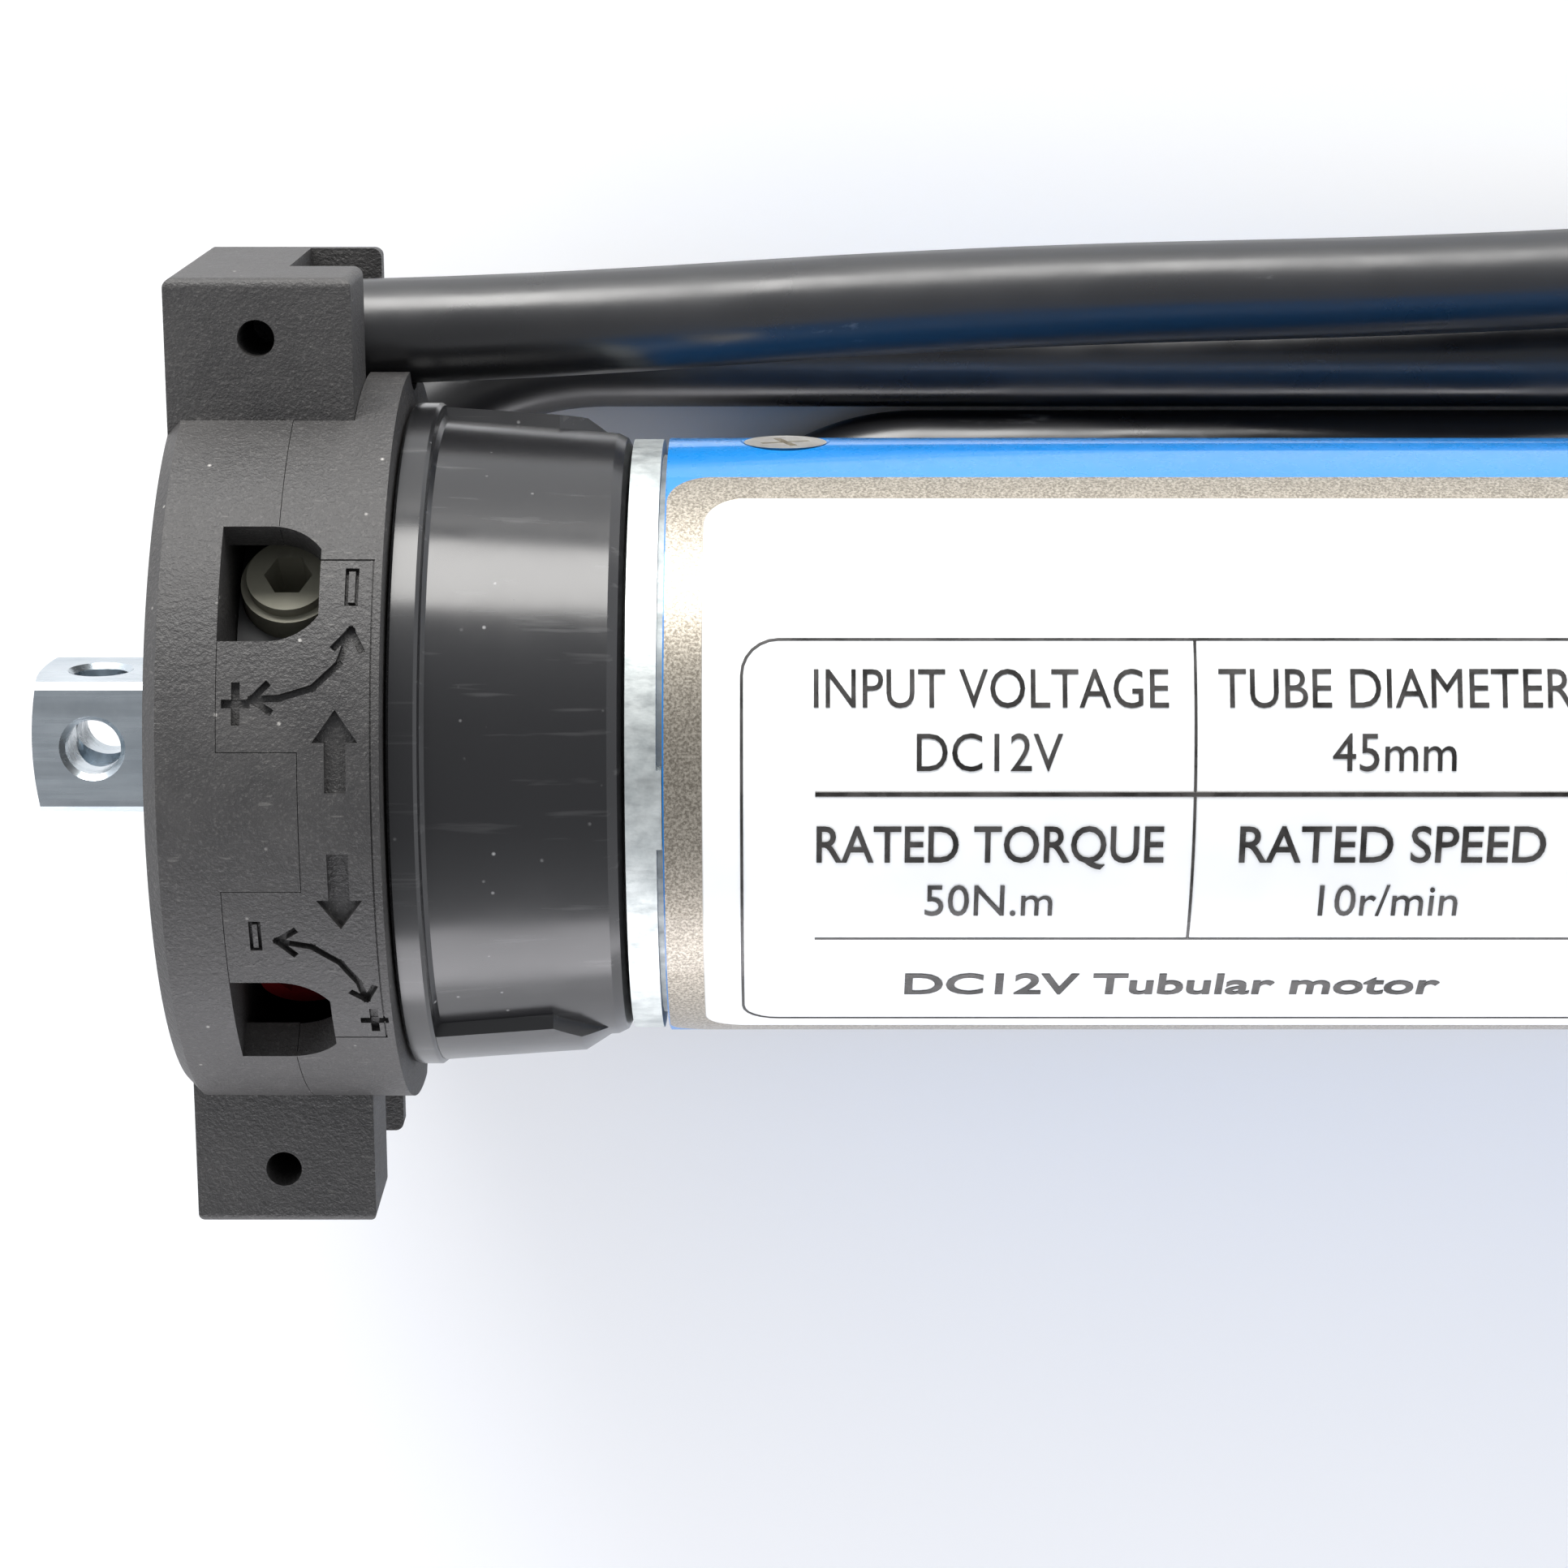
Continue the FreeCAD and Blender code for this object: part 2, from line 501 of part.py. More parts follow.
case = cyl(tube_in - 0.1, 250.0, 346.0).cut(gear(ring_pts, 253.0, 347.0)).cut(cyl(9.0, 240, 254))
save("ring_gear", case)
save("sun_1", gear(sun_pts, STAGE_X[0] - 0.5, STAGE_X[0] + FACE_W).cut(cyl(1.95, 200, 300)))
for i, x0 in enumerate(STAGE_X):
    plate_x0 = x0 + FACE_W + 0.6
    plate_x1 = plate_x0 + 4.0
    carrier = cyl(15.5, plate_x0, plate_x1)
    planet = gear(planet_pts, x0, x0 + FACE_W).cut(cyl(PLANET_BORE, 200, 400))
    for k, letter in enumerate("abc"):
        y, z = at(120 * k, ORBIT_R)
        carrier = carrier.fuse(cyl(PEG_R, x0 - 0.8, plate_x0 + 0.1, y, z))
        body = planet.copy()
        body.translate(V(0, 0, ORBIT_R))
        save("planet_%d%s" % (i + 1, letter), round_x(body, 120 * k))
    if i < 2:
        carrier = carrier.fuse(cyl(2.6, plate_x1 - 0.1, STAGE_X[i + 1] - 1))
        carrier = carrier.fuse(gear(sun_pts, STAGE_X[i + 1] - 1.1, STAGE_X[i + 1] + FACE_W))
        save("carrier_%d" % (i + 1), carrier.removeSplitter())
    else:
        carrier = carrier.fuse(cyl(SHAFT_R, plate_x1 - 0.1, SHAFT_X1 - 1.0))
        carrier = carrier.fuse(Part.makeCone(SHAFT_R, SHAFT_R - 1.0, 1.0, V(SHAFT_X1 - 1, 0, 0), V(1, 0, 0)))
        carrier = carrier.cut(box(402.0, SHAFT_X1 + 1, -10, 10, 5.5, 12))
        carrier = carrier.cut(tube(SHAFT_R + 1, SHAFT_R - 0.3, 401.4, 402.2))
        carrier = carrier.cut(Part.makeCylinder(2.0, 30, V(412, 0, -15), V(0, 0, 1)))
        carrier = carrier.cut(tube(SHAFT_R + 1, SHAFT_R - 0.5, 386.0, 387.3))
        save("output_shaft", carrier.removeSplitter())
clip = tube(9.2, SHAFT_R - 0.45, 386.1, 387.2).cut(box(380, 390, -2.5, 2.5, 0, 20))
save("circlip", clip)

end_cap = cyl(tube_in - 0.1, 346.1, 380.05).fuse(cyl(TUBE_R - 0.1, 380.05, 384.0))
end_cap = end_cap.cut(cyl(16.5, 346, 350)).cut(cyl(SHAFT_R + 0.6, 340, 390)).cut(cyl(13.05, 349, 362.05))
for x, a in GEAR_SCREWS:
    end_cap = end_cap.cut(screw_hole(x, a))
save("gearbox_end_cap", end_cap.removeSplitter())
save("output_bearing", tube(13.0, SHAFT_R + 0.04, 352.0, 362.0))

# ---------------------------------------------------------------------------
# Supply lead: the free part, then the flat hank lying under the motor
# ---------------------------------------------------------------------------
lead_route = [(8.3, CABLE_Y, CABLE_Z), (22.0, 30.2, -5.0), (60.0, 31.0, -18.0), (100.0, 31.5, -24.0),
              (132.0, 33.0, -28.0), (150.0, 35.2, LANE_Z), (LEAD_X1, 35.5, LANE_Z)]
save("cable_lead", sweep(lead_route, CABLE_R))


def slab(points_and_arcs, z0, z1):
    """Flat solid from a closed outline of ("L", end) and ("A", through, end) steps."""
    edges = []
    last = V(*points_and_arcs[0], z0)
    for step in points_and_arcs[1:]:
        if step[0] == "L":
            nxt = V(*step[1], z0)
            edges.append(Part.LineSegment(last, nxt).toShape())
        else:
            nxt = V(*step[2], z0)
            edges.append(Part.Arc(last, V(*step[1], z0), nxt).toShape())
        last = nxt
    return Part.Face(Part.Wire(edges)).extrude(V(0, 0, z1 - z0))


TOP_Z = FLOOR_Z + 2 * CABLE_R
hank_out = [(30.0, -31.5), ("L", (290.0, -31.5)), ("A", (325.5, 4.0), (290.0, 39.5)),
            ("L", (LEAD_X1, 39.5)), ("L", (LEAD_X1, 28.5)), ("L", (30.0, 28.5)),
            ("A", (0.0, -1.5), (30.0, -31.5))]
hank_in = [(56.0, -15.2), ("L", (282.0, -15.5)), ("A", (300.0, 2.5), (282.0, 20.5)),
           ("L", (240.0, 20.5)), ("L", (240.0, 12.8)), ("L", (56.0, 12.8)),
           ("A", (42.0, -1.2), (56.0, -15.2))]
hank = slab(hank_out, FLOOR_Z, TOP_Z).cut(slab(hank_in, FLOOR_Z - 1, TOP_Z + 1))
hank = hank.cut(box(197.2, 202.8, 10, 45, FLOOR_Z - 1, FLOOR_Z + 0.9))
save("cable_hank", hank)

tie = box(197.5, 202.5, 11.7, 40.6, FLOOR_Z, TOP_Z + 1.0)
tie = tie.cut(box(190, 210, 12.7, 39.6, FLOOR_Z + 0.8, TOP_Z + 0.1))
lock = box(196.8, 203.2, 33.0, 38.5, TOP_Z + 0.9, TOP_Z + 4.2)
save("cable_tie", tie.fuse(lock).removeSplitter())
save("core_red", cyl(0.9, 240.1, 268.0, 15.2, LANE_Z))
save("core_black", cyl(0.9, 240.1, 266.0, 17.9, LANE_Z))
save("cable_grommet", tube(4.85, CABLE_R + 0.16, 8.3, 10.6, CABLE_Y, CABLE_Z))
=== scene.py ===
import bpy
import json
import math
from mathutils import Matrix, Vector


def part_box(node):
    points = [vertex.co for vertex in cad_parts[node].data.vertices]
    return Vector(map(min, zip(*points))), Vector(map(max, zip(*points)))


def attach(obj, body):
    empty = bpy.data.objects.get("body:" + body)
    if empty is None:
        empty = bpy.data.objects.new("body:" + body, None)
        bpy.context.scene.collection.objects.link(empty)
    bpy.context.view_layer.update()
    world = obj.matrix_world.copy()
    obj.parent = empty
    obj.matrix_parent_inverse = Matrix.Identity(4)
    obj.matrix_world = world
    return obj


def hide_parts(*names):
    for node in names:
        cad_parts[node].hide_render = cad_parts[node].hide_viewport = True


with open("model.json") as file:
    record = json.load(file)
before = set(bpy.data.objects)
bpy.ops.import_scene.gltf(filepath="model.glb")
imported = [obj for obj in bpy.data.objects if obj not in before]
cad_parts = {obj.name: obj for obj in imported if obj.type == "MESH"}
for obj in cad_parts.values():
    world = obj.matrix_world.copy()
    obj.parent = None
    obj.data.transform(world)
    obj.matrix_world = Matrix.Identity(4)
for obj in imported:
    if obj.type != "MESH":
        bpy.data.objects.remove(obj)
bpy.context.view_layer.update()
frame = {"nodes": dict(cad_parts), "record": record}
NODES = frame["nodes"]
MM = 0.001

# ---------------------------------------------------------------------------
# Sizes, millimetres in the row frame (X axis of the motor, Z up)
# ---------------------------------------------------------------------------
FLOOR_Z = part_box("cable_hank")[0].z / MM
TUBE_R = 22.5
LABEL_SKIN = 0.12
LABEL_X0, LABEL_X1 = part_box("tube_label")[0].x / MM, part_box("tube_label")[1].x / MM
LABEL_HALF_S = math.radians(69.0) * TUBE_R
CABLE_D = 8.0
LANE_Z = FLOOR_Z + CABLE_D / 2


# ---------------------------------------------------------------------------
# Camera, floor, light
# ---------------------------------------------------------------------------
def make_camera():
    data = bpy.data.cameras.new("camera")
    data.sensor_width = 36.0
    data.lens = 85.6
    data.clip_start = 0.01
    cam = bpy.data.objects.new("camera", data)
    cam.location = (0.0445, 0.0652, 0.2775)
    cam.rotation_euler = (math.radians(-14), 0, 0)
    bpy.context.scene.collection.objects.link(cam)
    bpy.context.scene.camera = cam


def area_light(name, location, target, size, power, colour=(1, 1, 1), size_y=None):
    data = bpy.data.lights.new(name, "AREA")
    data.energy = power
    data.color = colour
    data.size = size
    if size_y:
        data.shape = "RECTANGLE"
        data.size_y = size_y
    obj = bpy.data.objects.new(name, data)
    obj.location = location
    aim = Vector(target) - Vector(location)
    obj.rotation_euler = aim.to_track_quat("-Z", "Y").to_euler()
    bpy.context.scene.collection.objects.link(obj)


def room_world(zenith, horizon):
    """Pale room that is dim overhead and bright towards the horizon."""
    world = bpy.data.worlds.new("studio")
    world.use_nodes = True
    tree = world.node_tree
    split = tree.nodes.new("ShaderNodeSeparateXYZ")
    tree.links.new(tree.nodes.new("ShaderNodeTexCoord").outputs["Generated"], split.inputs[0])
    fade = tree.nodes.new("ShaderNodeMapRange")
    tree.links.new(split.outputs["Z"], fade.inputs["Value"])
    for key, number in (("From Min", 0.40), ("From Max", 0.95), ("To Min", horizon), ("To Max", zenith)):
        fade.inputs[key].default_value = number
    background = tree.nodes["Background"]
    background.inputs["Color"].default_value = (0.94, 0.96, 1.0, 1.0)
    tree.links.new(fade.outputs[0], background.inputs["Strength"])
    bpy.context.scene.world = world


# ---------------------------------------------------------------------------
# Material building blocks
# ---------------------------------------------------------------------------
class Net:
    """Short way to write a node material."""

    def __init__(self, name):
        self.mat = bpy.data.materials.new(name)
        self.mat.use_nodes = True
        self.tree = self.mat.node_tree
        self.tree.nodes.clear()
        self.out = self.tree.nodes.new("ShaderNodeOutputMaterial")
        self.shader = self.tree.nodes.new("ShaderNodeBsdfPrincipled")
        self.link(self.shader.outputs[0], self.out.inputs[0])
        self.coord = self.tree.nodes.new("ShaderNodeTexCoord").outputs["Object"]

    def link(self, a, b):
        self.tree.links.new(a, b)

    def put(self, socket, value):
        if isinstance(value, bpy.types.NodeSocket):
            self.link(value, socket)
        else:
            socket.default_value = value

    def set(self, name, value):
        if isinstance(value, tuple) and len(value) == 3 and name != "Normal":
            value = (*value, 1.0)
        self.put(self.shader.inputs[name], value)

    def math(self, kind, a, b=0.0):
        node = self.tree.nodes.new("ShaderNodeMath")
        node.operation = kind
        self.put(node.inputs[0], a)
        self.put(node.inputs[1], b)
        return node.outputs[0]

    def scaled(self, stretch):
        node = self.tree.nodes.new("ShaderNodeMapping")
        node.inputs["Scale"].default_value = stretch
        self.link(self.coord, node.inputs["Vector"])
        return node.outputs[0]

    def noise(self, scale, detail=4.0, rough=0.5, stretch=None):
        node = self.tree.nodes.new("ShaderNodeTexNoise")
        node.inputs["Scale"].default_value = scale
        node.inputs["Detail"].default_value = detail
        node.inputs["Roughness"].default_value = rough
        self.link(self.scaled(stretch) if stretch else self.coord, node.inputs["Vector"])
        return node.outputs["Fac"]

    def cells(self, scale):
        node = self.tree.nodes.new("ShaderNodeTexVoronoi")
        node.inputs["Scale"].default_value = scale
        self.link(self.coord, node.inputs["Vector"])
        return node.outputs["Distance"]

    def ramp(self, value, low, high, to_low=0.0, to_high=1.0):
        node = self.tree.nodes.new("ShaderNodeMapRange")
        node.clamp = True
        self.put(node.inputs["Value"], value)
        for key, number in zip(("From Min", "From Max", "To Min", "To Max"), (low, high, to_low, to_high)):
            node.inputs[key].default_value = number
        return node.outputs[0]

    def mix(self, factor, a, b):
        node = self.tree.nodes.new("ShaderNodeMix")
        node.data_type = "RGBA"
        self.put(node.inputs[0], factor)
        for socket, value in ((node.inputs[6], a), (node.inputs[7], b)):
            self.put(socket, (*value, 1.0) if isinstance(value, tuple) else value)
        return node.outputs[2]

    def bump(self, height, strength, distance=0.0001, after=None):
        node = self.tree.nodes.new("ShaderNodeBump")
        node.inputs["Strength"].default_value = strength
        node.inputs["Distance"].default_value = distance
        self.put(node.inputs["Height"], height)
        if after is not None:
            self.link(after, node.inputs["Normal"])
        return node.outputs[0]

    def xyz(self):
        node = self.tree.nodes.new("ShaderNodeSeparateXYZ")
        self.link(self.coord, node.inputs[0])
        return node.outputs


def plastic(name, colour, light, rough, grain, depth):
    """Moulded plastic: grain, slow tone changes and rubbed patches."""
    net = Net(name)
    tone = net.ramp(net.noise(90.0, 5.0, 0.6), 0.35, 0.7)
    fine = net.noise(grain, 3.0, 0.6)
    base = net.mix(tone, colour, light)
    base = net.mix(net.ramp(fine, 0.55, 0.75, 0.0, 0.35), base, light)
    net.set("Base Color", base)
    net.set("Roughness", net.ramp(net.noise(160.0, 4.0), 0.3, 0.7, rough - 0.07, rough + 0.08))
    net.set("Normal", net.bump(fine, depth))
    return net.mat


def head_plastic():
    """Coarse spark-eroded grain on black glass-filled plastic, pale dust, rubbed and scuffed places."""
    net = Net("head plastic")
    grain = net.noise(3800.0, 2.0, 0.75)
    pits = net.noise(1500.0, 2.0, 0.6)
    tone = net.ramp(net.noise(120.0, 6.0, 0.65), 0.35, 0.7)
    base = net.mix(tone, (0.021, 0.020, 0.020), (0.040, 0.038, 0.037))
    base = net.mix(net.ramp(grain, 0.54, 0.72, 0.0, 0.42), base, (0.11, 0.105, 0.10))
    fibre = net.ramp(net.noise(2600.0, 1.0, 0.5, (0.25, 1.0, 1.0)), 0.72, 0.78, 0.0, 0.16)
    base = net.mix(fibre, base, (0.30, 0.29, 0.27))
    dust = net.ramp(net.cells(620.0), 0.0, 0.11, 0.85, 0.0)
    dust = net.math("MULTIPLY", dust, net.ramp(net.noise(230.0, 2.0), 0.55, 0.6))
    base = net.mix(dust, base, (0.55, 0.53, 0.50))
    net.set("Base Color", base)
    net.set("Roughness", net.ramp(tone, 0.0, 1.0, 0.50, 0.62))
    net.set("Normal", net.bump(grain, 0.8, 0.00012, net.bump(pits, 0.5, 0.00016)))
    net.set("Specular IOR Level", 0.55)
    return net.mat


def metal(name, colour, dark, rough, stretch, depth=0.15, blotch=60.0):
    """Plated or turned metal with fine scratches along one direction."""
    net = Net(name)
    net.set("Metallic", 1.0)
    cloud = net.ramp(net.noise(blotch, 6.0, 0.65), 0.35, 0.68)
    scratch = net.noise(900.0, 3.0, 0.6, stretch)
    base = net.mix(cloud, colour, dark)
    net.set("Base Color", net.mix(net.ramp(scratch, 0.6, 0.72, 0.0, 0.5), base, dark))
    net.set("Roughness", net.ramp(scratch, 0.3, 0.7, rough - 0.08, rough + 0.12))
    net.set("Normal", net.bump(scratch, depth, 0.00005))
    return net.mat


def glossy_crown():
    """Black moulded wheel: gloss, faint turning lines round it, dust."""
    net = Net("crown gloss")
    lines = net.noise(1400.0, 2.0, 0.5, (1.0, 0.04, 0.04))
    cloud = net.noise(70.0, 5.0, 0.6)
    specks = net.ramp(net.cells(520.0), 0.0, 0.09, 0.8, 0.0)
    dust = net.math("MULTIPLY", specks, net.ramp(net.noise(150.0), 0.55, 0.62))
    hair = net.ramp(net.noise(700.0, 3.0, 0.7, (0.05, 1.0, 1.0)), 0.60, 0.74, 0.0, 0.10)
    base = net.mix(hair, (0.013, 0.013, 0.014), (0.35, 0.35, 0.35))
    net.set("Base Color", net.mix(dust, base, (0.45, 0.45, 0.45)))
    net.set("Roughness", net.ramp(cloud, 0.3, 0.7, 0.16, 0.27))
    net.set("Specular IOR Level", 0.6)
    net.set("Normal", net.bump(net.noise(60.0, 3.0), 0.25, 0.0003, net.bump(lines, 0.12, 0.00003)))
    return net.mat


BLUE, BLUE_DEEP = (0.003, 0.18, 0.52), (0.003, 0.160, 0.475)


def blue_shader(net):
    flow = net.noise(500.0, 3.0)
    base = net.mix(net.ramp(net.noise(40.0, 4.0), 0.35, 0.65), BLUE, BLUE_DEEP)
    return base, flow


def blue_paint():
    net = Net("blue paint")
    base, flow = blue_shader(net)
    net.set("Base Color", base)
    net.set("Roughness", net.ramp(flow, 0.3, 0.7, 0.22, 0.34))
    net.set("Coat Weight", 0.7)
    net.set("Coat Roughness", 0.06)
    net.set("Normal", net.bump(flow, 0.12, 0.00005))
    return net.mat


def rounded_box(net, u, s, u0, u1, half_s, radius):
    """Signed distance, in millimetres, from a rounded rectangle in (u, s)."""
    from_middle = net.math("ABSOLUTE", net.math("SUBTRACT", u, (u0 + u1) / 2))
    qu = net.math("SUBTRACT", from_middle, (u1 - u0) / 2 - radius)
    qs = net.math("SUBTRACT", net.math("ABSOLUTE", s), half_s - radius)
    pu, ps = net.math("MAXIMUM", qu, 0.0), net.math("MAXIMUM", qs, 0.0)
    corner = net.math("SQRT", net.math("ADD", net.math("MULTIPLY", pu, pu), net.math("MULTIPLY", ps, ps)))
    inside = net.math("MINIMUM", net.math("MAXIMUM", qu, qs), 0.0)
    return net.math("SUBTRACT", net.math("ADD", corner, inside), radius)


def label_film():
    """Metallised film: grainy champagne border, glossy white field, blue beyond the rounded corners."""
    net = Net("label film")
    x, y, z = net.xyz()
    u = net.math("MULTIPLY", x, 1000.0)
    s = net.math("MULTIPLY", net.math("ARCTAN2", y, z), TUBE_R)
    inner = rounded_box(net, u, s, LABEL_X0 + 2.7, LABEL_X1 - 2.7, LABEL_HALF_S - 2.8, 3.0)
    outer = rounded_box(net, u, s, LABEL_X0, LABEL_X1, LABEL_HALF_S, 3.3)
    is_border = net.ramp(inner, -0.03, 0.03)
    is_paint = net.ramp(outer, -0.03, 0.03)
    grain = net.noise(5200.0, 2.0, 0.7)
    border = net.mix(net.ramp(grain, 0.38, 0.66), (0.17, 0.15, 0.12), (0.42, 0.385, 0.325))
    shade = net.ramp(net.noise(55.0, 4.0, 0.6), 0.35, 0.7)
    white = net.mix(shade, (0.83, 0.84, 0.84), (0.74, 0.76, 0.77))
    edge = net.ramp(net.math("ABSOLUTE", inner), 0.0, 0.10, 0.65, 0.0)
    base = net.mix(is_border, white, border)
    base = net.mix(edge, base, (0.30, 0.28, 0.24))
    blue, flow = blue_shader(net)
    net.set("Base Color", net.mix(is_paint, base, blue))
    metallic = net.math("MULTIPLY", is_border, net.math("SUBTRACT", 1.0, is_paint))
    net.set("Metallic", net.math("MULTIPLY", metallic, 0.75))
    net.set("Roughness", net.ramp(is_border, 0.0, 1.0, 0.24, 0.42))
    height = net.math("ADD", net.math("MULTIPLY", grain, metallic), net.math("MULTIPLY", is_border, 2.0))
    net.set("Normal", net.bump(height, 0.35, 0.00004, net.bump(flow, 0.10, 0.00004)))
    net.set("Coat Weight", 0.4)
    net.set("Coat Roughness", 0.12)
    return net.mat


def cable_skin():
    """Black PVC: satin, slightly uneven along its length, pale scuffs."""
    net = Net("cable sheath skin")
    scuff = net.math("MULTIPLY", net.ramp(net.noise(420.0, 5.0, 0.7, (0.35, 1, 1)), 0.62, 0.72),
                     net.ramp(net.noise(45.0), 0.5, 0.62))
    worn = net.math("MULTIPLY", scuff, 0.5)
    net.set("Base Color", net.mix(worn, (0.012, 0.012, 0.013), (0.16, 0.16, 0.16)))
    net.set("Roughness", net.ramp(net.noise(110.0, 5.0), 0.3, 0.7, 0.24, 0.40))
    net.set("Specular IOR Level", 0.75)
    lumps = net.bump(net.noise(95.0, 2.0), 0.35, 0.0004)
    net.set("Normal", net.bump(net.noise(1500.0, 3.0), 0.12, 0.00004, lumps))
    return net.mat


def printed_ink():
    net = Net("printed ink")
    mottled = net.ramp(net.noise(420.0, 3.0), 0.35, 0.65)
    net.set("Base Color", net.mix(mottled, (0.012, 0.011, 0.010), (0.055, 0.052, 0.05)))
    net.set("Roughness", net.ramp(mottled, 0.0, 1.0, 0.2, 0.34))
    net.set("Normal", net.bump(mottled, 0.1, 0.00003))
    return net.mat


def floor_paper():
    net = Net("white sheet")
    net.set("Base Color", net.mix(net.noise(30.0, 5.0), (0.90, 0.90, 0.905), (0.88, 0.885, 0.89)))
    net.set("Roughness", 0.85)
    net.set("Normal", net.bump(net.noise(900.0, 3.0), 0.05))
    return net.mat


ALONG, ROUND = (0.06, 1.0, 1.0), (1.0, 0.06, 0.06)
head_mat = head_plastic()
inner_mat = plastic("inner plastic", (0.03, 0.03, 0.032), (0.06, 0.06, 0.06), 0.5, 900.0, 0.2)
white_mat = plastic("off-white plastic", (0.74, 0.72, 0.66), (0.62, 0.60, 0.54), 0.4, 800.0, 0.15)
# painted shade: the white knob sits deep in its window, so its colour is darkened well below the off-white
# plastic to stand in for the shade of the recess
knob_recess_shade_mat = plastic("cream plastic darkened as painted recess shade", (0.42, 0.41, 0.33), (0.32, 0.31, 0.24), 0.4, 800.0, 0.15)
red_mat = plastic("red plastic", (0.27, 0.012, 0.016), (0.18, 0.008, 0.011), 0.38, 800.0, 0.15)
black_mat = plastic("black plastic", (0.02, 0.02, 0.02), (0.045, 0.045, 0.045), 0.45, 1100.0, 0.3)
plated_mat = metal("zinc plate", (0.66, 0.72, 0.76), (0.42, 0.48, 0.53), 0.24, ALONG, 0.3)
steel_mat = metal("turned steel", (0.62, 0.62, 0.61), (0.42, 0.42, 0.41), 0.3, ROUND)
screw_mat = metal("nickel screw", (0.90, 0.87, 0.80), (0.66, 0.62, 0.55), 0.34, ALONG, 0.2, 300.0)
cast_mat = metal("die-cast zinc", (0.60, 0.63, 0.62), (0.40, 0.43, 0.43), 0.52, (0.5, 1, 1), 0.6, 520.0)
copper_mat = metal("copper", (0.80, 0.42, 0.24), (0.50, 0.24, 0.13), 0.3, ROUND)
crown_mat, blue_mat, label_mat = glossy_crown(), blue_paint(), label_film()
cable_mat, ink_mat = cable_skin(), printed_ink()

PAINT = {
    "head_plastic": head_mat, "crown_plastic": crown_mat, "zinc_plated_steel": steel_mat,
    "inner_plastic": inner_mat, "white_plastic": white_mat, "red_plastic": red_mat,
    "black_plastic": black_mat, "cast_zinc": cast_mat, "blue_paint": blue_mat,
    "label_film": label_mat, "copper": copper_mat, "cable_sheath": cable_mat,
}
SPECIAL = {
    "square_pin": plated_mat, "tube_screws": screw_mat, "gearbox_screws": screw_mat,
    "circlip": black_mat, "knob_white": knob_recess_shade_mat,
}


def paint(obj, material):
    obj.data.materials.clear()
    obj.data.materials.append(material)


for entry in frame["record"]["subparts"]:
    node = entry["node"]
    paint(NODES[node], SPECIAL.get(node, PAINT[entry["material_slot"]]))


# ---------------------------------------------------------------------------
# Cable: one curve from the head pocket into a flat hank under the motor
# ---------------------------------------------------------------------------
def turn(y_from, y_to, reach, side):
    """Control points of a round half turn between two lanes, out to X = reach, towards +X or -X."""
    radius, middle = abs(y_from - y_to) / 2, (y_from + y_to) / 2
    half = math.tan(math.radians(22.5)) * radius
    up = math.copysign(half, y_from - y_to)
    x0 = reach - side * radius
    flat = [(x0 - side * half, y_from), (x0 + side * half, y_from), (reach, middle + up),
            (reach, middle - up), (x0 + side * half, y_to), (x0 - side * half, y_to)]
    return [(x, y, LANE_Z) for x, y in flat]


# lanes of the hank, Y in millimetres, in the order that the cable runs through them
LANE_1, LANE_2, LANE_3, LANE_4, LANE_5 = 35.5, -27.5, 24.5, -19.2, 16.2
CABLE_EXIT = (8.3, 30.1, -4.4)
CABLE_END = (240.2, 16.4, LANE_Z)

cable_route = [CABLE_EXIT, (22.0, 30.2, -5.0), (60.0, 31.4, -17.0), (100.0, 31.5, -24.0),
               (132.0, 33.0, -28.0), (150.0, 35.2, LANE_Z), (165.0, LANE_1, LANE_Z), (230.0, LANE_1, LANE_Z)]
cable_route += turn(LANE_1, LANE_2, 321.5, 1) + [(160.0, LANE_2, LANE_Z)]
cable_route += turn(LANE_2, LANE_3, 4.0, -1) + [(160.0, LANE_3, LANE_Z)]
cable_route += turn(LANE_3, LANE_4, 304.5, 1) + [(170.0, LANE_4, LANE_Z)]
cable_route += turn(LANE_4, LANE_5, 38.0, -1) + [(150.0, LANE_5, LANE_Z), CABLE_END]


def nurbs_tube(name, route, diameter, material):
    data = bpy.data.curves.new(name, "CURVE")
    data.dimensions = "3D"
    spline = data.splines.new("NURBS")
    spline.points.add(len(route) - 1)
    for point, (x, y, z) in zip(spline.points, route):
        point.co = (x * MM, y * MM, z * MM, 1.0)
    spline.order_u = 3
    spline.use_endpoint_u = True
    spline.resolution_u = 16
    data.bevel_depth = diameter / 2 * MM
    data.bevel_resolution = 8
    data.use_fill_caps = True
    obj = bpy.data.objects.new(name, data)
    bpy.context.scene.collection.objects.link(obj)
    data.materials.append(material)
    return obj


cable = nurbs_tube("supply_cable", cable_route, CABLE_D, cable_mat)
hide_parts("cable_lead", "cable_hank")
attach(cable, "housing")


# ---------------------------------------------------------------------------
# Label print: captions and rules laid on the tube
# ---------------------------------------------------------------------------
PRINT_R = TUBE_R + LABEL_SKIN + 0.01
PRINT_H = 0.05


def on_tube(x, s, lift):
    a = s / TUBE_R
    r = (PRINT_R + lift) * MM
    return Vector((x * MM, r * math.sin(a), r * math.cos(a)))


def finish_print(obj):
    obj.data.materials.append(ink_mat)
    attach(obj, "housing")


